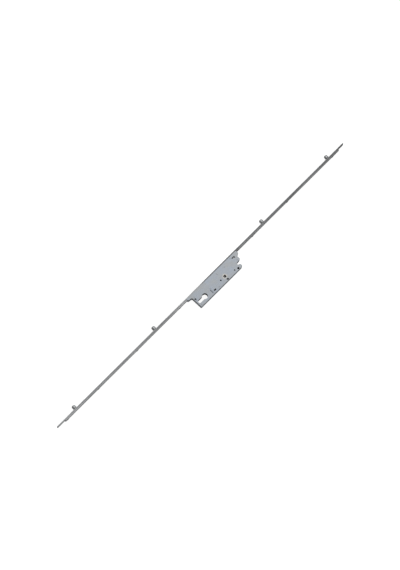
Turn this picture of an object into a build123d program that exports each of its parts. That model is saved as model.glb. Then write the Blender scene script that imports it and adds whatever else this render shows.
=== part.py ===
"""Espagnolette door lock: a faceplate with four roller cams, drive rods behind it and a central case.

Z runs up the door edge, X goes from the faceplate into the door and Y goes through the door.
The origin is on the follower's axis, halfway through the case.
"""

import os
from math import acos, ceil, cos, pi, radians, sin, tan

from build123d import *

# Overall sizes, in millimetres
backset = 35.0  # faceplate front to the follower axis
cylinder_drop = 85.0  # follower axis down to the cylinder axis
rail_top = 551.0  # upper end of the faceplate above the follower axis
rail_bottom = -666.0  # lower end of the faceplate
travel = 20.0  # stroke of the drive rods, downwards

# Faceplate and rods
face_width = 16.0
face_thick = 3.0
face_corner = 1.5
face_edge = 0.5  # rounding of the front's long edges
rod_thick = 3.5
rod_corner = 2.5
upper_strip = 23.0  # bare faceplate past the upper rod
rod_end_room = 1.25  # between the lower rod, thrown, and the end screw

# Clearances
running_gap = 0.15  # between flat faces that slide
pin_gap = 0.05  # radial, round a pin that turns or is riveted
slot_gap = 0.1  # each side of a pin that slides in a slot
rod_side_gap = 0.2  # between a rod's edges and the case sheets
screw_gap = 0.5  # each side of a screw that passes a rod
stop_gap = 0.4  # left at each end of a stroke

# Case
case_width = 15.0
sheet = 1.5
case_floor = 31.0  # cylinder axis down to the underside of the case
foot_drop = 15.0  # underside of the case down to the end of its foot
post_to_lobe_top = 8.5  # drive spring's rivet up to the top of the middle lobe
tab_rise = 9.0  # top of the middle lobe up to the end of the tab
case_bend = 1.0
gear_room = 0.25  # between the gear's tips and the rear wall
block_depth = 2.6
block_height = 8.0
press_depth = 0.35  # of the marks pressed into the seen side

# Rollers and their studs
roller_heights = [-590.0, -259.0, 201.0, 485.0]
roller_r = 5.9
roller_edge = 0.6
journal_r = 3.0
stud_collar_r = 4.6
stud_collar_thick = 0.6
stud_head_r = 4.6
stud_head_thick = 1.4
stud_head_edge = 0.5
stud_neck_r = 3.5
stud_reach = 11.3  # stud's end in front of the faceplate
rivet_r = 2.5
rivet_head_r = 4.5
rivet_head_thick = 1.0
rivet_head_edge = 0.6

# Rivets through the faceplate, on which the rods slide, and the screw holes
middle_guide_heights = [-500.0, -340.0, -160.0, 150.0, 300.0]
guide_insets = [9.0, 8.0]  # outermost rivets, from the lower rod's end and the thrown upper rod's end
fixing_insets = [10.0, 6.5]  # from the end of the foot and the top of the tab
screw_r = 2.25
screw_head_r = 4.25
end_screw_insets = [5.5, 10.0]  # from the lower end and from the upper end
rail_screw_heights = [-440.0, -200.0, 110.0, 380.0]
cylinder_screw_r = 2.75
cylinder_screw_head_r = 4.75

# Euro-profile cut-out
profile_r = 8.75
profile_leg_width = 10.5
profile_leg_reach = 24.3  # cylinder axis to the end of the narrow leg

# Follower and its gear
gear_module = 1.5
gear_size = 25.5  # pitch diameter aimed at, met to the nearest whole tooth
pressure_angle = radians(20)
tooth_play = 0.3
gear_thick = 4.0
hub_r = 7.5
hub_flange = 2.0
hub_proud = 0.4
key_width = 3.0
key_height = 1.2
spindle_square = 8.1

# Drive slide
slide_thick = 4.0
slide_relief = 1.95  # the lower part's rear edge lies this far before the rack's root
lug_length = 8.0
lug_insets = [6.0, 10.0]  # from the slide's lower end and from its upper end
lug_to_rod_end = 12.0
guide_pin_spacing = 32.0
guide_pin_set = 6.85  # behind the rods
guide_pin_r = 2.5
guide_collar_r = 4.0
rack_to_detent = 7.6  # middle of the rack's last tooth up to the detent's bump
detent_to_post = 29.0  # detent's bump up to the rivet that holds its spring
detent_to_top = 8.5  # last detent notch up to the slide's top
detent_square = 1.6

# Key slide, thrown towards the faceplate by the cylinder's cam
key_throw = 7.0
key_thick = 3.5
key_rise = 41.0  # cylinder axis up to the key slide's upper edge
key_height_over_legs = 24.0
key_leg_length = 6.0
key_legs = [(-8.0, -4.0), (4.5, 8.5)]  # front and rear of each leg, from the cylinder axis
key_body_front = -8.8
key_nose_height = 8.0
key_pin_places = [-4.5, 2.5]
key_pin_drop = 14.0  # below the key slide's upper edge
key_pin_r = 2.0
key_collar_r = 3.2

# Rivets between the case sheets, and their ends
rivet_body_r = 2.75
tenon_r = 1.75

# Leaf springs
leaf = 0.5
drive_spring_width = 6.0
key_spring_width = 4.0

face_front = -backset
face_back = face_front + face_thick
rod_front = face_back + running_gap
rod_back = rod_front + rod_thick
case_half = case_width / 2
inside = case_half - sheet
rod_width = 2 * (inside - rod_side_gap)
block_front = rod_back + running_gap
block_back = block_front + block_depth

# Gear and rack, which meet at the pitch line before the follower
gear_teeth_round = round(gear_size / gear_module)
pitch_r = gear_module * gear_teeth_round / 2
rack_pitch = pi * gear_module
rack_addendum = 0.8 * gear_module
rack_dedendum = 1.2 * gear_module
stroke_teeth = ceil(travel / rack_pitch)
rack_teeth = stroke_teeth + 3
segment_teeth = stroke_teeth + 2
tip_r = pitch_r + gear_module
rack_root = -pitch_r - rack_dedendum
rack_tip = -pitch_r + rack_addendum
rear_wall = tip_r + gear_room
case_rear = rear_wall + sheet

# Heights that follow the rack
drive_detent = (rack_teeth - 2.5) * rack_pitch + rack_to_detent
drive_detents = [drive_detent, drive_detent + travel]
slide_top = drive_detents[1] + detent_to_top
drive_spring_post = (rack_root + 4.95, drive_detent + detent_to_post)
lobe_top = drive_spring_post[1] + post_to_lobe_top
tab_top = lobe_top + tab_rise

# Heights that follow the cylinder
case_bottom = -cylinder_drop - case_floor
foot_bottom = case_bottom - foot_drop
fixing_heights = [foot_bottom + fixing_insets[0], tab_top - fixing_insets[1]]
key_top = -cylinder_drop + key_rise
key_bottom = key_top - key_height_over_legs
key_pin_height = key_top - key_pin_drop
nose_middle = key_top - key_nose_height / 2
slide_bottom = nose_middle - 10
slide_step = nose_middle + travel + 12
guide_pin_heights = [slide_step + 4, slide_step + 4 + guide_pin_spacing]

# Rods, from the slide's lugs to the ends of the faceplate
lug_heights = [slide_bottom + lug_insets[0], slide_top - lug_insets[1]]
end_screw_heights = [rail_bottom + end_screw_insets[0], rail_top - end_screw_insets[1]]
lower_rod_bottom = end_screw_heights[0] + screw_r + rod_end_room + travel
lower_rod_top = lug_heights[0] + lug_to_rod_end
upper_rod_bottom = lug_heights[1] - lug_to_rod_end
upper_rod_top = rail_top - upper_strip
guide_heights = [
    lower_rod_bottom + guide_insets[0],
    *middle_guide_heights,
    upper_rod_top - travel - guide_insets[1],
]

# Places in the case, as (X, height)
guide_pin_x = rod_back + guide_pin_set
key_spring_post = (rear_wall - 3.5, key_top + 11)
rivet_places = [
    (rear_wall - 7, 34.3),
    drive_spring_post,
    key_spring_post,
    (guide_pin_x + 0.5, case_bottom + 8),
    (rear_wall - 3, case_bottom + 7),
]


def across(y):
    """Side plane of the lock at this Y, seen with X to the right and Z up."""
    return Plane.XZ.offset(-y)


def along_x(z):
    """Base plane of a pin on the lock's centre line, pointing into the door."""
    return Plane(origin=(0, 0, z), x_dir=(0, 1, 0), z_dir=(1, 0, 0))


def along_y(x, z):
    """Base plane of a pin that crosses the case."""
    return Plane(origin=(x, 0, z), x_dir=(1, 0, 0), z_dir=(0, 1, 0))


def stepped_pin(base, steps):
    """A turned pin whose steps (start, end, radius) follow the plane's normal."""
    with BuildPart() as pin:
        for start, end, radius in steps:
            with BuildSketch(base.offset(start)):
                Circle(radius)
            extrude(amount=end - start)
    return pin.part


def sleeve(base, start, end, outer, inner):
    """A round sleeve along the plane's normal."""
    with BuildPart() as ring:
        with BuildSketch(base.offset(start)):
            Circle(outer)
            Circle(inner, mode=Mode.SUBTRACT)
        extrude(amount=end - start)
    return ring.part


def slide_hole(z, radius, gap):
    """Upright slot in a moving bar, at rest, for a fixed pin at this height: its middle, length and width."""
    width = 2 * (radius + gap)
    return z + travel / 2, travel + width + 2 * stop_gap, width


# Faceplate: a strip with long slots for the roller studs, riveting holes and countersunk screw holes
stud_slot_width = 2 * (stud_neck_r + slot_gap)
with BuildPart() as faceplate:
    with BuildSketch(Plane.YZ.offset(face_front)):
        with Locations((0, (rail_top + rail_bottom) / 2)):
            RectangleRounded(face_width, rail_top - rail_bottom, face_corner)
    extrude(amount=face_thick)
    fillet(faceplate.edges().group_by(Axis.X)[0], face_edge)
    with BuildSketch(Plane.YZ.offset(face_front)):
        with Locations([(0, z - travel / 2) for z in roller_heights]):
            SlotOverall(travel + stud_slot_width + 2 * stop_gap, stud_slot_width, rotation=90)
        with Locations([(0, z) for z in guide_heights + fixing_heights]):
            Circle(tenon_r + pin_gap)
    extrude(amount=face_thick, mode=Mode.SUBTRACT)
    fronts = [
        Plane(origin=(face_front, 0, z), x_dir=(0, 1, 0), z_dir=(-1, 0, 0))
        for z in end_screw_heights + rail_screw_heights
    ]
    with Locations(*fronts):
        CounterSinkHole(screw_r, screw_head_r, face_thick, 90)
    with Locations(Plane(origin=(face_front, 0, -cylinder_drop), x_dir=(0, 1, 0), z_dir=(-1, 0, 0))):
        CounterSinkHole(cylinder_screw_r, cylinder_screw_head_r, face_thick, 90)


def drive_rod(bottom, top, lug_height):
    """Flat bar with a hole for each stud riveted in it and a long hole for each fixed pin it passes."""
    fixed = [(z, rivet_r, slot_gap) for z in guide_heights + fixing_heights]
    fixed += [(z, screw_r, screw_gap) for z in rail_screw_heights]
    fixed.append((-cylinder_drop, cylinder_screw_r, screw_gap))
    with BuildPart() as rod:
        with BuildSketch(Plane.YZ.offset(rod_front)):
            with Locations((0, (bottom + top) / 2)):
                RectangleRounded(rod_width, top - bottom, rod_corner)
            for z, radius, gap in fixed:
                if bottom < z < top:
                    middle, length, width = slide_hole(z, radius, gap)
                    with Locations((0, middle)):
                        SlotOverall(length, width, rotation=90, mode=Mode.SUBTRACT)
            with Locations([(0, z) for z in roller_heights if bottom < z < top]):
                Circle(rivet_r + pin_gap, mode=Mode.SUBTRACT)
            with Locations((0, lug_height)):
                Rectangle(slide_thick + 2 * pin_gap, lug_length + 2 * pin_gap, mode=Mode.SUBTRACT)
        extrude(amount=rod_thick)
    return rod


lower_drive_rod = drive_rod(lower_rod_bottom, lower_rod_top, lug_heights[0])
upper_drive_rod = drive_rod(upper_rod_bottom, upper_rod_top, lug_heights[1])

# Roller studs: riveted in the rods, with a neck through the faceplate's slot and a journal for the roller
stud_end = face_front - stud_reach
journal_start = face_front - stud_collar_thick - running_gap
stud_steps = [
    (stud_end, stud_end + stud_head_thick, stud_head_r),
    (stud_end + stud_head_thick, journal_start - stud_collar_thick, journal_r),
    (journal_start - stud_collar_thick, journal_start, stud_collar_r),
    (journal_start, rod_front, stud_neck_r),
    (rod_front, rod_back, rivet_r),
]
studs = [stepped_pin(along_x(z), stud_steps) for z in roller_heights]
with BuildPart() as roller_studs:
    add(studs)
    fillet(roller_studs.edges().group_by(Axis.X)[0], stud_head_edge)

# Rollers: turned sleeves with broken edges, free to turn on their studs
roller_outer = stud_end + stud_head_thick + running_gap
roller_inner = journal_start - stud_collar_thick - running_gap


def roller(z):
    """One roller on its journal."""
    with BuildPart() as cam:
        with BuildSketch(along_x(z).offset(roller_outer)):
            Circle(roller_r)
            Circle(journal_r + pin_gap, mode=Mode.SUBTRACT)
        extrude(amount=roller_inner - roller_outer)
        fillet(cam.edges().filter_by(GeomType.CIRCLE).group_by(SortBy.RADIUS)[-1], roller_edge)
    return cam


rollers = [roller(z) for z in roller_heights]

# Guide rivets: flush in the faceplate, with a head behind the rod
guide_steps = [
    (face_front, face_back, tenon_r),
    (face_back, rod_back + running_gap, rivet_r - slot_gap),
    (rod_back + running_gap, rod_back + running_gap + rivet_head_thick, rivet_head_r),
]
guides = [stepped_pin(along_x(z), guide_steps) for z in guide_heights]
with BuildPart() as rod_guide_rivets:
    add(guides)
    fillet(rod_guide_rivets.edges().group_by(Axis.X)[-1], rivet_head_edge)

# Case outline: a foot and a tab by the faceplate, a middle lobe, a notch and a rear lobe
outline_points = [
    (face_back, foot_bottom),
    (rod_back + 0.85, foot_bottom),
    (block_back + sheet + 0.1, foot_bottom + 4),
    (block_back + sheet + 0.8, case_bottom - 2.5),
    (block_back + sheet + 3.6, case_bottom),
    (case_rear, case_bottom),
    (case_rear, 55.0),
    (case_rear - 2, 60.5),
    (case_rear - 10, 60.5),
    (case_rear - 12.8, 53.0),
    (rack_root + 14.05, 52.0),
    (rack_root + 11.35, lobe_top - 15),
    (rack_root + 10.75, lobe_top - 4.5),
    (rack_root + 8.55, lobe_top),
    (rod_back + 12, lobe_top),
    (rod_back + 7, tab_top),
    (face_back, tab_top),
]
outline_radii = [0, 1.5, 2, 2, 2, 2, 2, 1.5, 2, 1.5, 1.5, 1.5, 2, 2, 1.5, 1.5, 0]
with BuildSketch(Plane.XY) as case_outline:
    with BuildLine():
        FilletPolyline(*outline_points, radius=outline_radii, close=True)
    make_face()

with BuildSketch(Plane.XY) as case_pocket:
    add(case_outline.sketch)
    offset(amount=-sheet)

# Cut-out for a euro-profile cylinder: a round head over a narrow leg with a round end
with BuildSketch(Plane.XY) as cylinder_profile:
    with Locations((0, -cylinder_drop)):
        Circle(profile_r)
    with Locations((0, -cylinder_drop - profile_leg_reach / 2)):
        SlotOverall(profile_leg_reach + profile_leg_width / 2, profile_leg_width, rotation=90)


def tenon_holes():
    """Places of every pin end that is riveted into the case sheets."""
    places = rivet_places + [(guide_pin_x, z) for z in guide_pin_heights]
    return places + [(x, key_pin_height) for x in key_pin_places]


# Small holes in the case side: inspection, assembly and handle holes
with BuildSketch(Plane.XY) as case_holes:
    with Locations((0, 0)):
        Circle(hub_r + pin_gap)
    with Locations((0, -17.3), (-14.0, case_bottom + 4.7)):
        Circle(2.35)
    with Locations((-11.2, case_bottom + 4.7)):
        Rectangle(4.6, 2.0)
    with Locations((7.6, key_top - 5.9)):
        SlotOverall(8.6, 4.4, rotation=90)
    with Locations((rear_wall - 3.1, 0.5)):
        SlotOverall(6.8, 5.0, rotation=60)
    with Locations((rear_wall - 3.4, 46.3)):
        RectangleRounded(6.0, 6.0, 0.8)
    with Locations((rod_back + 1.85, 49.6)):
        Circle(0.9)
    with Locations(tenon_holes()):
        Circle(tenon_r + pin_gap)
with BuildSketch(Plane.XY) as hook_slot:
    with BuildLine():
        FilletPolyline(
            (rod_back + 5.45, 53.5), (rod_back + 5.45, 62.6), (rod_back + 9.85, 63.0), radius=1.8
        )
    trace(line_width=3.0)

# Marks pressed into the seen side: a short groove above the cylinder and a fine line beside it
press_height = -cylinder_drop + 24.3
with BuildSketch(Plane.XY) as pressed_marks:
    with Locations((4.8, press_height)):
        SlotOverall(13.5, 1.8)
    with Locations((case_rear - case_bend - 8.5, press_height + 3.0)):
        Rectangle(16, 0.4)

# Case tray: one folded sheet, open towards the cover and along the rods
with BuildPart() as case_tray:
    with BuildSketch(across(inside)):
        add(case_outline.sketch)
    extrude(amount=inside + case_half)
    seen_face = case_tray.faces().sort_by(Axis.Y)[0]
    bends = [
        e for e in seen_face.edges() if e.center().X > face_back + 1 or e.center().Z > tab_top
    ]
    fillet(bends, case_bend)
    with BuildSketch(across(inside)):
        add(case_pocket.sketch)
    extrude(amount=2 * inside, mode=Mode.SUBTRACT)
    with BuildSketch(across(inside)):
        with Locations(((face_back + block_front) / 2, (tab_top + foot_bottom) / 2)):
            Rectangle(block_front - face_back, tab_top - foot_bottom + 2)
    extrude(amount=2 * inside, mode=Mode.SUBTRACT)
    with BuildSketch(across(case_half)):
        add(cylinder_profile.sketch)
        add(case_holes.sketch)
        add(hook_slot.sketch)
    extrude(amount=2 * case_width, mode=Mode.SUBTRACT)
    with BuildSketch(across(-case_half + press_depth)):
        add(pressed_marks.sketch)
    extrude(amount=press_depth, mode=Mode.SUBTRACT)

# Case cover: the flat sheet on the other side
with BuildPart() as case_cover:
    with BuildSketch(across(case_half)):
        add(case_outline.sketch)
        add(cylinder_profile.sketch, mode=Mode.SUBTRACT)
        Circle(hub_r + pin_gap, mode=Mode.SUBTRACT)
        with Locations(tenon_holes()):
            Circle(tenon_r + pin_gap, mode=Mode.SUBTRACT)
    extrude(amount=sheet)

# Case rivets: stepped, with their ends flush in both sheets
rivet_steps = [
    (-case_half, -inside, tenon_r),
    (-inside, inside, rivet_body_r),
    (inside, case_half, tenon_r),
]
crossing = [stepped_pin(along_y(x, z), rivet_steps) for x, z in rivet_places]
with BuildPart() as case_rivets:
    add(crossing)

# Blocks that stand behind the rods, with the rivets that tie them to the faceplate
with BuildPart() as case_blocks:
    with BuildSketch(Plane.YZ.offset(block_front)):
        with Locations([(0, z) for z in fixing_heights]):
            Rectangle(2 * inside, block_height)
            Circle(tenon_r + pin_gap, mode=Mode.SUBTRACT)
    extrude(amount=block_depth)

fixing_steps = [
    (face_front, face_back, tenon_r),
    (face_back, block_front, rivet_r - slot_gap),
    (block_front, block_back, tenon_r),
]
fixings = [stepped_pin(along_x(z), fixing_steps) for z in fixing_heights]
with BuildPart() as case_fixing_rivets:
    add(fixings)


def case_guides(places, stem_r, collar_r, half_thick):
    """Stepped guide pins from the tray side, and the loose spacers on them at the cover side."""
    seat = half_thick + running_gap
    steps = [
        (-case_half, -inside, tenon_r),
        (-inside, -seat, collar_r),
        (-seat, inside, stem_r),
        (inside, case_half, tenon_r),
    ]
    pins = [stepped_pin(along_y(x, z), steps) for x, z in places]
    rings = [sleeve(along_y(x, z), seat, inside, collar_r, stem_r + pin_gap) for x, z in places]
    return pins, rings


slide_pins, slide_rings = case_guides(
    [(guide_pin_x, z) for z in guide_pin_heights], guide_pin_r, guide_collar_r, slide_thick / 2
)
with BuildPart() as slide_guide_pins:
    add(slide_pins)
with BuildPart() as slide_guide_spacers:
    add(slide_rings)
key_pins, key_rings = case_guides(
    [(x, key_pin_height) for x in key_pin_places], key_pin_r, key_collar_r, key_thick / 2
)
with BuildPart() as key_slide_pins:
    add(key_pins)
with BuildPart() as key_slide_spacers:
    add(key_rings)

# Drive slide: a plate with a rack for the gear, deadlocking notches, guide slots and a lug in each rod
low_rear = rack_root - slide_relief
key_nose_tip = low_rear + stop_gap
notch_floor = key_nose_tip - key_throw - 0.7
# one rack tooth: straight flanks at the pressure angle, thinned for play
half_pitch_line = rack_pitch / 4 - tooth_play / 4
half_root = half_pitch_line + rack_dedendum * tan(pressure_angle)
half_tip = half_pitch_line - rack_addendum * tan(pressure_angle)
with BuildSketch(Plane.XY) as rack_tooth:
    with BuildLine():
        Polyline(
            (rack_root - 1, -half_root),
            (rack_root, -half_root),
            (rack_tip, -half_tip),
            (rack_tip, half_tip),
            (rack_root, half_root),
            (rack_root - 1, half_root),
            close=True,
        )
    make_face()

with BuildPart() as drive_slide:
    with BuildSketch(across(slide_thick / 2)):
        with BuildLine():
            FilletPolyline(
                (rod_back, slide_bottom),
                (low_rear, slide_bottom),
                (low_rear, slide_step),
                (rack_root, slide_step + 2),
                (rack_root, slide_top),
                (rod_back, slide_top),
                radius=[1, 1, 1, 1, 2, 1],
                close=True,
            )
        make_face()
        with Locations([(0, (k - 1.5) * rack_pitch) for k in range(rack_teeth)]):
            add(rack_tooth.sketch)
        # a notch for the key slide's nose at either end of the stroke
        with Locations(
            [((notch_floor + low_rear) / 2, nose_middle + k * travel) for k in range(2)]
        ):
            Rectangle(low_rear - notch_floor, key_nose_height + 2 * stop_gap, mode=Mode.SUBTRACT)
        with Locations([(rack_root, z) for z in drive_detents]):
            Rectangle(detent_square, detent_square, rotation=45, mode=Mode.SUBTRACT)
        for z in guide_pin_heights:
            middle, length, width = slide_hole(z, guide_pin_r, slot_gap)
            with Locations((guide_pin_x, middle)):
                SlotOverall(length, width, rotation=90, mode=Mode.SUBTRACT)
    extrude(amount=slide_thick)
    with BuildSketch(across(slide_thick / 2)):
        with Locations([((rod_front + rod_back) / 2, z) for z in lug_heights]):
            Rectangle(rod_thick, lug_length)
    extrude(amount=slide_thick)

# Follower gear: a ring with an involute segment that faces the rack
base_r = pitch_r * cos(pressure_angle)
root_r = pitch_r - rack_addendum - 0.3
tooth_angle = 360 / gear_teeth_round


def flank(radius):
    """Point of the tooth's upper flank at this radius, for a tooth that points along X."""
    roll = acos(min(1.0, base_r / radius))
    at_pitch = tan(pressure_angle) - pressure_angle
    half = (rack_pitch / 2 - tooth_play / 2) / 2 / pitch_r
    turn = half + at_pitch - (tan(roll) - roll)
    return radius * cos(turn), radius * sin(turn)


flank_radii = [base_r + (tip_r - base_r) * k / 4 for k in range(5)]
upper_flank = [flank(r) for r in flank_radii]
lower_flank = [(x, -y) for x, y in upper_flank]
foot = (root_r - 1.5, upper_flank[0][1] * 1.05)
with BuildSketch(Plane.XY) as tooth:
    with BuildLine():
        Spline(*upper_flank)
        ThreePointArc(upper_flank[-1], (tip_r, 0), lower_flank[-1])
        Spline(*lower_flank)
        Polyline(lower_flank[0], (foot[0], -foot[1]), foot, upper_flank[0])
    make_face()

with BuildPart() as follower_gear:
    with BuildSketch(across(gear_thick / 2)):
        Circle(root_r)
        for k in range(segment_teeth):
            add(tooth.sketch, rotation=180 - (k - 1) * tooth_angle)
        Circle(hub_r + pin_gap, mode=Mode.SUBTRACT)
        Rectangle(2 * (hub_r + key_height + pin_gap), key_width + 2 * pin_gap, mode=Mode.SUBTRACT)
    extrude(amount=gear_thick)

# Follower hub: square hole for the spindle, a flange behind the gear and two keys in it
hub_end = case_half + hub_proud
flange_end = inside - running_gap
with BuildPart() as follower_hub:
    with BuildSketch(across(hub_end)):
        Circle(hub_r)
    extrude(amount=2 * hub_end)
    with BuildSketch(across(flange_end)):
        Circle(hub_r + hub_flange)
    extrude(amount=flange_end - gear_thick / 2)
    with BuildSketch(across(gear_thick / 2)):
        Rectangle(2 * (hub_r + key_height), key_width)
    extrude(amount=gear_thick)
    with BuildSketch(across(hub_end)):
        Rectangle(spindle_square, spindle_square)
    extrude(amount=2 * hub_end, mode=Mode.SUBTRACT)
    ends = follower_hub.faces().filter_by(Axis.Y).sort_by(Axis.Y)
    rims = [e for f in (ends[0], ends[-1]) for e in f.edges().filter_by(GeomType.CIRCLE)]
    chamfer(rims, 0.3)

follower_washer = sleeve(
    Plane.XZ, gear_thick / 2, flange_end, hub_r + hub_flange, hub_r + pin_gap
)

# Key slide: nose towards the drive slide, one long guide slot and two legs round the cam
key_body_rear = rear_wall - 0.5
key_detents = [3.0, 3.0 + key_throw]
leg_root = key_bottom + 2
leg_end = key_bottom - key_leg_length
with BuildPart() as key_slide:
    with BuildSketch(across(key_thick / 2)):
        with Locations(((key_body_front + key_body_rear) / 2, (key_top + key_bottom) / 2)):
            RectangleRounded(key_body_rear - key_body_front, key_top - key_bottom, 1)
        with Locations(((key_nose_tip + key_body_front + 2) / 2, nose_middle)):
            RectangleRounded(key_body_front + 2 - key_nose_tip, key_nose_height, 0.6)
        for front, rear in key_legs:
            with Locations(((front + rear) / 2, (leg_root + leg_end) / 2)):
                RectangleRounded(rear - front, leg_root - leg_end, 0.8)
        slot_half = key_pin_r + slot_gap
        slot_front = key_pin_places[0] - slot_half
        slot_rear = key_pin_places[1] + key_throw + slot_half
        with Locations(((slot_front + slot_rear) / 2, key_pin_height)):
            SlotOverall(slot_rear - slot_front, 2 * slot_half, mode=Mode.SUBTRACT)
        with Locations([(x, key_top) for x in key_detents]):
            Rectangle(detent_square, detent_square, rotation=45, mode=Mode.SUBTRACT)
    extrude(amount=key_thick)


def leaf_spring(points, radii, width):
    """A bent strip of spring steel seen from its edge."""
    with BuildPart() as strip:
        with BuildSketch(across(width / 2)):
            with BuildLine():
                FilletPolyline(*points, radius=radii)
            trace(line_width=leaf)
        extrude(amount=width)
    return strip


# Drive detent: hooked over the middle lobe's rivet, its bump on the drive slide's rear edge
wrap = rivet_body_r + 0.1 + leaf / 2
post_x, post_z = drive_spring_post
drive_detent_spring = leaf_spring(
    [
        (post_x + wrap, post_z - 4),
        (post_x + wrap, post_z + wrap),
        (post_x - wrap, post_z + wrap),
        (post_x - wrap, post_z - 8),
        (rack_root + 1.7, drive_detent + 4.5),
        (rack_root - 0.2, drive_detent),
        (rack_root + 3.5, drive_detent - 5),
    ],
    [2.5, 2.5, 2, 2, 0.7],
    drive_spring_width,
)

# Key detent: hooked over the rear rivet, its bump in the key slide's notch
key_post_x, key_post_z = key_spring_post
key_detent_spring = leaf_spring(
    [
        (key_post_x - 3, key_post_z - wrap),
        (key_post_x + wrap, key_post_z - wrap),
        (key_post_x + wrap, key_post_z + wrap),
        (key_post_x - wrap, key_post_z + wrap),
        (key_detents[0], key_top - 0.4),
        (key_detents[0] - 4.5, key_top + 4),
    ],
    [2.5, 2.5, 1.5, 0.6],
    key_spring_width,
)

pieces = {
    "faceplate": faceplate.part,
    "lower_drive_rod": lower_drive_rod.part,
    "upper_drive_rod": upper_drive_rod.part,
    "roller_studs": roller_studs.part,
    "rod_guide_rivets": rod_guide_rivets.part,
    "case_tray": case_tray.part,
    "case_cover": case_cover.part,
    "case_rivets": case_rivets.part,
    "case_blocks": case_blocks.part,
    "case_fixing_rivets": case_fixing_rivets.part,
    "slide_guide_pins": slide_guide_pins.part,
    "slide_guide_spacers": slide_guide_spacers.part,
    "key_slide_pins": key_slide_pins.part,
    "key_slide_spacers": key_slide_spacers.part,
    "drive_slide": drive_slide.part,
    "follower_gear": follower_gear.part,
    "follower_hub": follower_hub.part,
    "follower_washer": follower_washer,
    "key_slide": key_slide.part,
    "drive_detent_spring": drive_detent_spring.part,
    "key_detent_spring": key_detent_spring.part,
}
for number, cam in enumerate(rollers, start=1):
    pieces[f"roller_{number}"] = cam.part

os.makedirs("parts", exist_ok=True)
for name, piece in pieces.items():
    piece.label = name
    export_step(piece, f"parts/{name}.step")
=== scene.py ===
"""Looks of the espagnolette door lock: finishes, rivet ends, light, floor and camera."""
import math

import bmesh
import bpy
from mathutils import Matrix, Vector


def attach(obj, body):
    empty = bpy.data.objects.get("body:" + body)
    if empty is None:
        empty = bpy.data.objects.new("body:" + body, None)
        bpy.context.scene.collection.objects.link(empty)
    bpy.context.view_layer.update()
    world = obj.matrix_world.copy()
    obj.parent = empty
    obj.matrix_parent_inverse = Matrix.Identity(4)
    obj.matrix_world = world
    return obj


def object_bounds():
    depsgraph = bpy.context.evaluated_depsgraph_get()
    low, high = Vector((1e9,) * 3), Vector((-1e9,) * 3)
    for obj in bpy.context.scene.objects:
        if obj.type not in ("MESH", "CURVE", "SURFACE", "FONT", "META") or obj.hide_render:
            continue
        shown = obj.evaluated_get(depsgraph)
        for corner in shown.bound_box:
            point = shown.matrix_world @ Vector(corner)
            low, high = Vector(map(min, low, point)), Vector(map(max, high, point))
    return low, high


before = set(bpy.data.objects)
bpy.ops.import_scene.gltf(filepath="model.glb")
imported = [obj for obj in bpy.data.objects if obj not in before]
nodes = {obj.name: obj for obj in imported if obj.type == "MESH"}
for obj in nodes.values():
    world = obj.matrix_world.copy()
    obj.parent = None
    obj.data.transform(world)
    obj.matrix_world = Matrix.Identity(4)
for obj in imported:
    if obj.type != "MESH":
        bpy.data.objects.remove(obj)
cad_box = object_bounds()


def linear(hex_code):
    """An sRGB hex value as a linear colour."""
    parts = [int(hex_code[k : k + 2], 16) / 255 for k in (0, 2, 4)]
    return (*[p / 12.92 if p <= 0.04045 else ((p + 0.055) / 1.055) ** 2.4 for p in parts], 1.0)


def put(tree, kind, inputs=None, stops=(), **settings):
    """Adds a node. An input is a number, a colour or the socket that feeds it.

    The stops of a colour ramp are (place, colour) pairs, in rising order.
    """
    made = tree.nodes.new(kind)
    for number, (place, colour) in enumerate(stops):
        if number == len(made.color_ramp.elements):
            made.color_ramp.elements.new(1.0)
        made.color_ramp.elements[number].position = place
        made.color_ramp.elements[number].color = colour
    for name, value in settings.items():
        setattr(made, name, value)
    for name, value in (inputs or {}).items():
        if isinstance(value, bpy.types.NodeSocket):
            tree.links.new(value, made.inputs[name])
        else:
            made.inputs[name].default_value = value
    return made


def new_finish(name):
    """A material with an empty tree, and its coordinates in metres."""
    finish = bpy.data.materials.new(name)
    finish.use_nodes = True
    finish.node_tree.nodes.clear()
    tree = finish.node_tree
    return finish, tree, put(tree, "ShaderNodeTexCoord").outputs["Object"]


def close_finish(tree, shader):
    """Joins the shader to the material's output."""
    put(tree, "ShaderNodeOutputMaterial", {"Surface": shader.outputs[0]})


def grain(tree, place, across_mm, along_mm, detail=2.0):
    """Noise drawn out along the height of the lock: its size across and along, in millimetres."""
    stretched = put(
        tree,
        "ShaderNodeMapping",
        {"Vector": place, "Scale": (1000 / across_mm, 1000 / across_mm, 1000 / along_mm)},
    )
    return put(tree, "ShaderNodeTexNoise", {"Vector": stretched.outputs[0], "Scale": 1.0, "Detail": detail})


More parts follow.
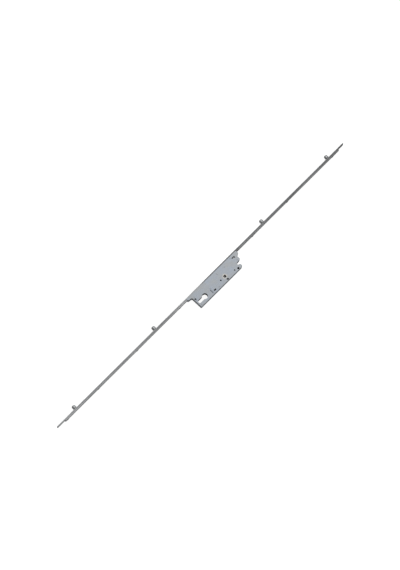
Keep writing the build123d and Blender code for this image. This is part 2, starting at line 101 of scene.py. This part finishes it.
def bright_zinc_sheet():
    """Cold-rolled steel sheet, bright zinc plated and blue passivated.

    A soft bluish silver sheen, with the bath's faint clouds of blue and straw, and the mill's fine lines
    along the strip. The lines are drawn 0.6 mm apart, coarser than the real tenth, so that they show.
    """
    finish, tree, place = new_finish("bright_zinc_sheet")
    clouds = put(
        tree,
        "ShaderNodeTexNoise",
        {"Vector": place, "Scale": 1000 / 22, "Detail": 3.0, "Roughness": 0.55},
    )
    tones = [(0.34, linear("9BA2AB")), (0.68, linear("ABAEB0"))]
    tint = put(tree, "ShaderNodeValToRGB", {"Fac": clouds.outputs["Fac"]}, tones)
    lines = grain(tree, place, 0.6, 30)
    streak = put(
        tree,
        "ShaderNodeMix",
        {"Factor": lines.outputs["Fac"], "A": 0.86, "B": 1.12},
    )
    toned = put(
        tree,
        "ShaderNodeVectorMath",
        {0: tint.outputs["Color"], "Scale": streak.outputs[0]},
        operation="SCALE",
    )
    matt = put(
        tree,
        "ShaderNodeMapRange",
        {"Value": clouds.outputs["Fac"], "From Min": 0.3, "From Max": 0.7, "To Min": 0.34, "To Max": 0.46},
    )
    relief = put(
        tree,
        "ShaderNodeBump",
        {"Height": lines.outputs["Fac"], "Strength": 0.12, "Distance": 0.00005},
    )
    shader = put(
        tree,
        "ShaderNodeBsdfPrincipled",
        {
            "Base Color": toned.outputs[0],
            "Metallic": 1.0,
            "Roughness": matt.outputs[0],
            "Normal": relief.outputs[0],
        },
    )
    close_finish(tree, shader)
    return finish


def zinc_plated_stamping():
    """Fine-blanked steel, zinc plated, tumbled and greased: speckled, darker and duller than the sheet."""
    finish, tree, place = new_finish("zinc_plated_stamping")
    dents = put(tree, "ShaderNodeTexNoise", {"Vector": place, "Scale": 1000 / 1.8, "Detail": 4.0})
    tones = [(0.3, linear("343534")), (0.7, linear("5A5B5A"))]
    tint = put(tree, "ShaderNodeValToRGB", {"Fac": dents.outputs["Fac"]}, tones)
    relief = put(
        tree,
        "ShaderNodeBump",
        {"Height": dents.outputs["Fac"], "Strength": 0.2, "Distance": 0.0001},
    )
    shader = put(
        tree,
        "ShaderNodeBsdfPrincipled",
        {
            "Base Color": tint.outputs["Color"],
            "Metallic": 1.0,
            "Roughness": 0.42,
            "Normal": relief.outputs[0],
        },
    )
    close_finish(tree, shader)
    return finish


def sheared_and_shaded_edge():
    """Sheet cut after plating: bare steel in the edges and holes, roughly torn, and painted dark as the shade
    in the holes and recesses.
    """
    finish, tree, place = new_finish("sheared_and_shaded_edge")
    torn = put(tree, "ShaderNodeTexNoise", {"Vector": place, "Scale": 1000 / 0.8, "Detail": 3.0})
    tones = [(0.35, linear("3A3B3D")), (0.7, linear("5E6063"))]
    tint = put(tree, "ShaderNodeValToRGB", {"Fac": torn.outputs["Fac"]}, tones)
    shader = put(
        tree,
        "ShaderNodeBsdfPrincipled",
        {"Base Color": tint.outputs["Color"], "Metallic": 0.7, "Roughness": 0.5},
    )
    close_finish(tree, shader)
    return finish


# No slide runs beside the leg of the cut-out. Below this height and behind this X the painted shade and the
# grease stop, fading over these distances, in metres
shade_end = -0.089
shade_end_fade = 0.002
leg_side = -0.0085
leg_fade = 0.0005


def greased_and_shaded_inside():
    """The same sheet between the two sides, under a film of assembly grease that the slides smear about; its
    dark tone is painted shade.

    Beside the leg of the cut-out the painted shade stops and it is bare and bright.
    """
    finish, tree, place = new_finish("greased_and_shaded_inside")
    film = grain(tree, place, 7, 16, 3.0)
    # The dark tones are painted shade between the sheets, mottled by the grease film
    tones = [(0.35, linear("141413")), (0.75, linear("2B2A27"))]
    tint = put(tree, "ShaderNodeValToRGB", {"Fac": film.outputs["Fac"]}, tones)
    spot = put(tree, "ShaderNodeSeparateXYZ", {"Vector": place})
    low = put(
        tree,
        "ShaderNodeMapRange",
        {"Value": spot.outputs["Z"], "From Min": shade_end, "From Max": shade_end - shade_end_fade},
    )
    by_leg = put(
        tree,
        "ShaderNodeMapRange",
        {"Value": spot.outputs["X"], "From Min": leg_side - leg_fade, "From Max": leg_side + leg_fade},
    )
    # Where the painted shade stops
    bare = put(tree, "ShaderNodeMath", {0: low.outputs[0], 1: by_leg.outputs[0]}, operation="MULTIPLY")
    toned = put(
        tree,
        "ShaderNodeMix",
        {"Factor": bare.outputs[0], "A": tint.outputs["Color"], "B": linear("ABB0B5")},
        data_type="RGBA",
    )
    shader = put(
        tree,
        "ShaderNodeBsdfPrincipled",
        {"Base Color": toned.outputs["Result"], "Metallic": 0.4, "Roughness": 0.5},
    )
    close_finish(tree, shader)
    return finish


# Painted light along the strip, as (height, how pale), and where a painted shadow from the case lies on the
# slit edges, in metres
strip_low = -0.67
strip_high = 0.56
painted_light_tones = [
    (-0.66, 2.0),
    (-0.6, 1.75),
    (-0.45, 1.52),
    (-0.2, 1.2),
    (-0.135, 1.86),
    (-0.03, 1.05),
    (0.06, 0.95),
    (0.515, 0.8),
    (0.54, 0.45),
]
shadow_middle = 0.01
shadow_half = 0.065
shadow_fade = 0.02


def silver_coated_strip():
    """Steel strip with a satin silver-grey sealed zinc flake coating.

    A neutral grey with a fine sparkle from the flakes, which are drawn 0.5 mm across so that they show, and a
    slightly darker, drier skin where the coating pooled. Along its height it carries painted light: lighter
    below the case than above it, lightest at the lower end, with a painted highlight just under the case, and
    darkest at the upper tip. Beside the case its slit edges, which face along Y, carry a painted shadow from
    the case.
    """
    finish, tree, place = new_finish("silver_coated_strip")
    flakes = put(tree, "ShaderNodeTexVoronoi", {"Vector": place, "Scale": 1000 / 0.5})
    flake = put(tree, "ShaderNodeSeparateColor", {"Color": flakes.outputs["Color"]})
    pools = grain(tree, place, 9, 60, 3.0)
    tones = [(0.32, linear("7E7F80")), (0.7, linear("98999A"))]
    tint = put(tree, "ShaderNodeValToRGB", {"Fac": pools.outputs["Fac"]}, tones)
    spark = put(
        tree,
        "ShaderNodeMapRange",
        {"Value": flake.outputs[0], "To Min": 0.9, "To Max": 1.14},
    )
    height = put(tree, "ShaderNodeSeparateXYZ", {"Vector": place})
    along = put(
        tree,
        "ShaderNodeMapRange",
        {"Value": height.outputs["Z"], "From Min": strip_low, "From Max": strip_high},
    )
    heights = [(z - strip_low) / (strip_high - strip_low) for z, _ in painted_light_tones]
    greys = [(tone / 2, tone / 2, tone / 2, 1.0) for _, tone in painted_light_tones]
    # Painted light along the height, with a painted highlight just under the case
    painted_light_ramp = put(tree, "ShaderNodeValToRGB", {"Fac": along.outputs[0]}, list(zip(heights, greys)))
    painted_light_ramp.color_ramp.interpolation = "EASE"
    doubled = put(tree, "ShaderNodeVectorMath", {0: painted_light_ramp.outputs["Color"], "Scale": 2.0}, operation="SCALE")
    side = put(tree, "ShaderNodeNewGeometry")
    facing = put(tree, "ShaderNodeSeparateXYZ", {"Vector": side.outputs["True Normal"]})
    across = put(tree, "ShaderNodeMath", {0: facing.outputs["Y"]}, operation="ABSOLUTE")
    is_slit = put(tree, "ShaderNodeMapRange", {"Value": across.outputs[0], "From Min": 0.8, "From Max": 0.95})
    # Painted shadow from the case on the slit edges beside it
    from_case = put(tree, "ShaderNodeMath", {0: height.outputs["Z"], 1: shadow_middle}, operation="SUBTRACT")
    off_case = put(tree, "ShaderNodeMath", {0: from_case.outputs[0]}, operation="ABSOLUTE")
    case_shadow = put(
        tree,
        "ShaderNodeMapRange",
        {
            "Value": off_case.outputs[0],
            "From Min": shadow_half,
            "From Max": shadow_half + shadow_fade,
            "To Min": 0.5,
        },
    )
    slit = put(tree, "ShaderNodeMix", {"Factor": is_slit.outputs[0], "A": 1.0, "B": case_shadow.outputs[0]})
    tone = put(tree, "ShaderNodeMath", {0: spark.outputs[0], 1: slit.outputs[0]}, operation="MULTIPLY")
    # The coat's tone times the painted light along the height
    coated = put(
        tree,
        "ShaderNodeVectorMath",
        {0: tint.outputs["Color"], 1: doubled.outputs[0]},
        operation="MULTIPLY",
    )
    toned = put(
        tree,
        "ShaderNodeVectorMath",
        {0: coated.outputs[0], "Scale": tone.outputs[0]},
        operation="SCALE",
    )
    matt = put(
        tree,
        "ShaderNodeMapRange",
        {"Value": flake.outputs[1], "To Min": 0.36, "To Max": 0.54},
    )
    relief = put(
        tree,
        "ShaderNodeBump",
        {"Height": flake.outputs[2], "Strength": 0.08, "Distance": 0.00003},
    )
    shader = put(
        tree,
        "ShaderNodeBsdfPrincipled",
        {
            "Base Color": toned.outputs[0],
            "Metallic": 0.85,
            "Roughness": matt.outputs[0],
            "Normal": relief.outputs[0],
        },
    )
    close_finish(tree, shader)
    return finish


def turned_steel(name, dark, light, roughness):
    """Steel turned on a lathe and zinc plated.

    The tool leaves rings round the piece, a bright and a dull one in turn, drawn 0.5 mm apart. All turned
    pieces of the rail lie along X, so rings that step along X go round them.
    """
    finish, tree, place = new_finish(name)
    rings = put(
        tree,
        "ShaderNodeTexWave",
        {
            "Vector": place,
            "Scale": math.pi / 10 * 1000 / 0.5,
            "Distortion": 0.6,
            "Detail": 1.0,
            "Detail Scale": 0.5,
        },
        wave_type="BANDS",
        bands_direction="X",
    )
    tones = [(0.1, linear(dark)), (0.9, linear(light))]
    tint = put(tree, "ShaderNodeValToRGB", {"Fac": rings.outputs["Fac"]}, tones)
    relief = put(
        tree,
        "ShaderNodeBump",
        {"Height": rings.outputs["Fac"], "Strength": 0.25, "Distance": 0.00006},
    )
    shader = put(
        tree,
        "ShaderNodeBsdfPrincipled",
        {
            "Base Color": tint.outputs["Color"],
            "Metallic": 1.0,
            "Roughness": roughness,
            "Normal": relief.outputs[0],
        },
    )
    close_finish(tree, shader)
    return finish


def dark_socket():
    """The square's walls in the hub: acetal dulled by grease, painted dark as shade."""
    finish, tree, place = new_finish("dark_socket")
    smear = put(tree, "ShaderNodeTexNoise", {"Vector": place, "Scale": 1000 / 2, "Detail": 3.0})
    tones = [(0.35, linear("2A2826")), (0.7, linear("565049"))]
    tint = put(tree, "ShaderNodeValToRGB", {"Fac": smear.outputs["Fac"]}, tones)
    shader = put(tree, "ShaderNodeBsdfPrincipled", {"Base Color": tint.outputs["Color"], "Roughness": 0.5})
    close_finish(tree, shader)
    return finish


def blued_spring_strip():
    """Hardened spring strip: dark blue-black oxide that thins to brown where the bending stretched it."""
    finish, tree, place = new_finish("blued_spring_strip")
    oxide = put(tree, "ShaderNodeTexNoise", {"Vector": place, "Scale": 1000 / 3, "Detail": 3.0})
    tones = [(0.35, linear("3B4148")), (0.7, linear("5A544E"))]
    tint = put(tree, "ShaderNodeValToRGB", {"Fac": oxide.outputs["Fac"]}, tones)
    shader = put(
        tree,
        "ShaderNodeBsdfPrincipled",
        {"Base Color": tint.outputs["Color"], "Metallic": 1.0, "Roughness": 0.34},
    )
    close_finish(tree, shader)
    return finish


def white_acetal():
    """Injection-moulded acetal: creamy white, waxy, with a little light passing into it and a faint grain."""
    finish, tree, place = new_finish("white_acetal")
    skin = put(tree, "ShaderNodeTexNoise", {"Vector": place, "Scale": 1000 / 0.7, "Detail": 3.0})
    tones = [(0.3, linear("E9E8E1")), (0.7, linear("F4F3EE"))]
    tint = put(tree, "ShaderNodeValToRGB", {"Fac": skin.outputs["Fac"]}, tones)
    relief = put(
        tree,
        "ShaderNodeBump",
        {"Height": skin.outputs["Fac"], "Strength": 0.1, "Distance": 0.00004},
    )
    shader = put(
        tree,
        "ShaderNodeBsdfPrincipled",
        {
            "Base Color": tint.outputs["Color"],
            "Roughness": 0.42,
            "IOR": 1.48,
            "Subsurface Weight": 0.15,
            "Subsurface Radius": (1.0, 0.9, 0.7),
            "Subsurface Scale": 0.0008,
            "Normal": relief.outputs[0],
        },
    )
    close_finish(tree, shader)
    return finish


sheet = bright_zinc_sheet()
stamping = zinc_plated_stamping()
strip = silver_coated_strip()
pin_steel = turned_steel("turned_pin_steel", "8C8E90", "AEB0B1", 0.36)
roller_steel = turned_steel("turned_roller_steel", "868889", "CACCCD", 0.17)
spring = blued_spring_strip()
acetal = white_acetal()

finish_of = {
    "faceplate": strip,
    "rod_guide_rivets": strip,
    "case_fixing_rivets": strip,
    "lower_drive_rod": strip,
    "upper_drive_rod": strip,
    "case_tray": sheet,
    "case_cover": sheet,
    "case_rivets": pin_steel,
    "case_blocks": stamping,
    "slide_guide_pins": pin_steel,
    "slide_guide_spacers": pin_steel,
    "key_slide_pins": pin_steel,
    "key_slide_spacers": pin_steel,
    "drive_slide": stamping,
    "follower_gear": stamping,
    "key_slide": stamping,
    "follower_washer": pin_steel,
    "roller_studs": pin_steel,
    "drive_detent_spring": spring,
    "key_detent_spring": spring,
    "follower_hub": acetal,
    "roller_1": roller_steel,
    "roller_2": roller_steel,
    "roller_3": roller_steel,
    "roller_4": roller_steel,
}
for name, shown in nodes.items():
    shown.data.materials.clear()
    shown.data.materials.append(finish_of[name])

# Sizes of the lock that the finishes follow, in metres
case_half = 0.0075
inner_half = 0.0060
press_depth = 0.00035
square_half = 0.00407
stud_reach = 0.0113
near = 0.00002

# The faces of the case that lie wholly between its two sheets get the greased sheet painted dark as shade.
# Those that cross a sheet, round its holes and outline, are cut bare and painted dark as the shade there, and
# the pressed marks get the same painted shade.
press_floor = case_half - press_depth
greased = greased_and_shaded_inside()
cut_edge_and_recess_shade = sheared_and_shaded_edge()
for name in ("case_tray", "case_cover"):
    mesh = nodes[name].data
    mesh.materials.append(greased)
    mesh.materials.append(cut_edge_and_recess_shade)
    for face in mesh.polygons:
        depths = [abs(mesh.vertices[k].co.y) for k in face.vertices]
        if max(depths) < inner_half + near:
            face.material_index = 1
        elif max(depths) > case_half - near and min(depths) < inner_half + near:
            face.material_index = 2
        elif name == "case_tray" and max(abs(d - press_floor) for d in depths) < near:
            face.material_index = 2

# The rivets' ends in the faceplate's front are filed flush, so they show as discs of bare steel
faceplate_front = cad_box[0][0] + stud_reach
for name in ("rod_guide_rivets", "case_fixing_rivets"):
    mesh = nodes[name].data
    mesh.materials.append(pin_steel)
    for face in mesh.polygons:
        if all(abs(mesh.vertices[k].co.x - faceplate_front) < near for k in face.vertices):
            face.material_index = 1

# The walls of the hub's square hole are painted dark as shade
hub = nodes["follower_hub"].data
hub.materials.append(dark_socket())
for face in hub.polygons:
    spots = [hub.vertices[k].co for k in face.vertices]
    if abs(face.normal.y) < 0.1 and all(max(abs(p.x), abs(p.z)) < square_half for p in spots):
        face.material_index = 1

# Riveting spreads each pin's end into a low dome with a dimple, as (distance from its axis, height) in mm.
# The rivet at this X and height, in metres, has painted shade inside its rim, standing for the recess of a
# hollow rivet.
dome = [(0.0, 0.08), (0.5, 0.09), (1.0, 0.2), (1.5, 0.22), (2.0, 0.16), (2.3, 0.0)]
dome_sides = 32
shaded_rings = 3
pin_spread = 0.0036
shaded_rivet = Vector((0.0075, 0.0343))
shaded_reach = 0.001


def pin_ends(name, side):
    """Centres of the pin ends in one side of the case, from the node's own vertices there."""
    spots = [v.co for v in nodes[name].data.vertices if abs(v.co.y * side - case_half) < near]
    groups = []
    for spot in spots:
        same_pin = [g for g in groups if (g[0] - spot).length < pin_spread]
        if same_pin:
            same_pin[0].append(spot)
        else:
            groups.append([spot])
    low = [Vector([min(p[k] for p in g) for k in range(3)]) for g in groups]
    high = [Vector([max(p[k] for p in g) for k in range(3)]) for g in groups]
    return [(a + b) / 2 for a, b in zip(low, high)]


def domed_ends(side):
    """One mesh with a dome on every pin end in this side. The shaded rivet's is painted dark as shade but for
    its rim.
    """
    shape = bmesh.new()
    for name in ("case_rivets", "slide_guide_pins", "key_slide_pins"):
        for middle in pin_ends(name, side):
            rivet_shade_index = 1 if (middle.xz - shaded_rivet).length < shaded_reach else 0
            rings = []
            for radius, height in dome:
                turns = [2 * math.pi * k / dome_sides for k in range(dome_sides if radius else 1)]
                spots = [(math.cos(t) * radius, height * side, math.sin(t) * radius) for t in turns]
                rings.append([shape.verts.new(middle + Vector(p) / 1000) for p in spots])
            for k in range(dome_sides):
                after = (k + 1) % dome_sides
                shape.faces.new((rings[0][0], rings[1][k], rings[1][after])).material_index = rivet_shade_index
                for step, (inner, outer) in enumerate(zip(rings[1:], rings[2:])):
                    ring = shape.faces.new((inner[k], outer[k], outer[after], inner[after]))
                    ring.material_index = rivet_shade_index if step < shaded_rings else 0
    bmesh.ops.recalc_face_normals(shape, faces=shape.faces)
    mesh = bpy.data.meshes.new("rivet_ends")
    shape.to_mesh(mesh)
    shape.free()
    mesh.shade_smooth()
    return mesh


for side, name in ((-1, "rivet_ends_seen"), (1, "rivet_ends_far")):
    ends = bpy.data.objects.new(name, domed_ends(side))
    bpy.context.scene.collection.objects.link(ends)
    ends.data.materials.append(sheet)
    # The second finish is painted shade, for the shaded rivet's middle
    ends.data.materials.append(greased)
    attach(ends, "case")

# The floor lies behind the lock, which all but rests on it with the edge of its faceplate. The floor lets
# light through to what is as close to it as lit_through.
floor_y = 0.0083
floor_half = 6
lit_through = 0.003
corners = [(x * floor_half, floor_y, z * floor_half) for x, z in ((-1, -1), (1, -1), (1, 1), (-1, 1))]
floor_mesh = bpy.data.meshes.new("floor")
floor_mesh.from_pydata(corners, [], [(0, 1, 2, 3)])
floor = bpy.data.objects.new("floor", floor_mesh)
bpy.context.scene.collection.objects.link(floor)


def white_paper():
    """Matt white paper that is white to the eye and keeps a faint shadow.

    Its glow fades with ambient occlusion, a painted shadow, so where the lock closes it in, as under the
    hub's square, it is dark. Its underside lets the eye through, and it lets light through to what lies close
    to it, so that the lock's far side is lit as well.
    """
    finish, tree, _ = new_finish("white_paper")
    rays = put(tree, "ShaderNodeLightPath")
    side = put(tree, "ShaderNodeNewGeometry")
    # Ambient occlusion dims the glow: a painted shadow where the lock closes the paper in
    occlusion_shadow = put(tree, "ShaderNodeAmbientOcclusion", {"Distance": 0.012})
    level = put(
        tree,
        "ShaderNodeMapRange",
        {"Value": occlusion_shadow.outputs["AO"], "From Min": 0.17, "From Max": 0.32, "To Max": 0.86},
    )
    paper = put(tree, "ShaderNodeBsdfDiffuse", {"Color": linear("B4B4B4")})
    glow = put(tree, "ShaderNodeEmission", {"Color": linear("FFFFFF"), "Strength": level.outputs[0]})
    lit = put(tree, "ShaderNodeAddShader", {0: paper.outputs[0], 1: glow.outputs[0]})
    plain = put(tree, "ShaderNodeBsdfDiffuse", {"Color": linear("D8D8D8")})
    seen = put(
        tree,
        "ShaderNodeMixShader",
        {0: rays.outputs["Is Camera Ray"], 1: plain.outputs[0], 2: lit.outputs[0]},
    )
    unseen = put(tree, "ShaderNodeMath", {0: 1.0, 1: rays.outputs["Is Camera Ray"]}, operation="SUBTRACT")
    close = put(
        tree,
        "ShaderNodeMath",
        {0: rays.outputs["Ray Length"], 1: lit_through},
        operation="LESS_THAN",
    )
    passed = put(tree, "ShaderNodeMath", {0: unseen.outputs[0], 1: close.outputs[0]}, operation="MULTIPLY")
    gone = put(
        tree,
        "ShaderNodeMath",
        {0: side.outputs["Backfacing"], 1: passed.outputs[0]},
        operation="MAXIMUM",
    )
    clear = put(tree, "ShaderNodeBsdfTransparent")
    shader = put(tree, "ShaderNodeMixShader", {0: gone.outputs[0], 1: seen.outputs[0], 2: clear.outputs[0]})
    close_finish(tree, shader)
    return finish


floor.data.materials.append(white_paper())

# A soft white room, the same before and behind the lock: brightest facing its sides and from the top of the
# picture, dimmer towards its lower end
world = bpy.data.worlds.new("soft_room")
bpy.context.scene.world = world
world.use_nodes = True
world.node_tree.nodes.clear()
room = world.node_tree
facing = put(room, "ShaderNodeSeparateXYZ", {"Vector": put(room, "ShaderNodeTexCoord").outputs["Generated"]})
off_middle = put(room, "ShaderNodeMath", {0: facing.outputs["Y"]}, operation="ABSOLUTE")
folded = put(
    room,
    "ShaderNodeCombineXYZ",
    {"X": facing.outputs["X"], "Y": off_middle.outputs[0], "Z": facing.outputs["Z"]},
)
key_side = Vector((-0.25, 0.8, 0.55)).normalized()
slope = put(room, "ShaderNodeVectorMath", {0: folded.outputs[0], 1: key_side}, operation="DOT_PRODUCT")
level = put(
    room,
    "ShaderNodeMapRange",
    {"Value": slope.outputs["Value"], "From Min": -0.4, "From Max": 0.95, "To Min": 0.12, "To Max": 0.74},
)
rays = put(room, "ShaderNodeLightPath")
seen = put(room, "ShaderNodeMix", {"Factor": rays.outputs["Is Camera Ray"], "A": level.outputs[0], "B": 1.0})
air = put(room, "ShaderNodeBackground", {"Color": linear("FFFFFF"), "Strength": seen.outputs[0]})
put(room, "ShaderNodeOutputWorld", {"Surface": air.outputs[0]})

# One large soft lamp on either side, towards the faceplate and the top
for name, lamp_y in (("softbox", -3.2), ("far_softbox", 3.2)):
    softbox = bpy.data.lights.new(name, "AREA")
    softbox.size = 2.4
    softbox.energy = 20.0
    lamp = bpy.data.objects.new(name, softbox)
    lamp.location = (-1.4, lamp_y, 1.5)
    lamp.rotation_euler = (-Vector(lamp.location)).to_track_quat("-Z", "Y").to_euler()
    bpy.context.scene.collection.objects.link(lamp)

# Camera: seven metres off, a little below the lock's middle and behind its case, rolled so that the lock
# runs up to the right. Its focal length is in pixels of the 570 pixel high picture.
focal_length = 2363.52
picture_height = 570
camera_place = (1.099464, -6.645852, -1.725512)
lens = bpy.data.cameras.new("camera")
lens.sensor_fit = "AUTO"
lens.sensor_width = 36.0
lens.lens = focal_length / picture_height * lens.sensor_width
lens.clip_end = 50.0
camera = bpy.data.objects.new("camera", lens)
turned = Matrix(
    (
        (0.722848, -0.671407, 0.163411),
        (-0.048454, -0.285149, -0.957258),
        (0.689306, 0.684034, -0.238651),
    )
)
camera.matrix_world = Matrix.Translation(camera_place) @ turned.to_4x4()
bpy.context.scene.collection.objects.link(camera)
bpy.context.scene.camera = camera
bpy.context.scene.view_settings.view_transform = "Standard"
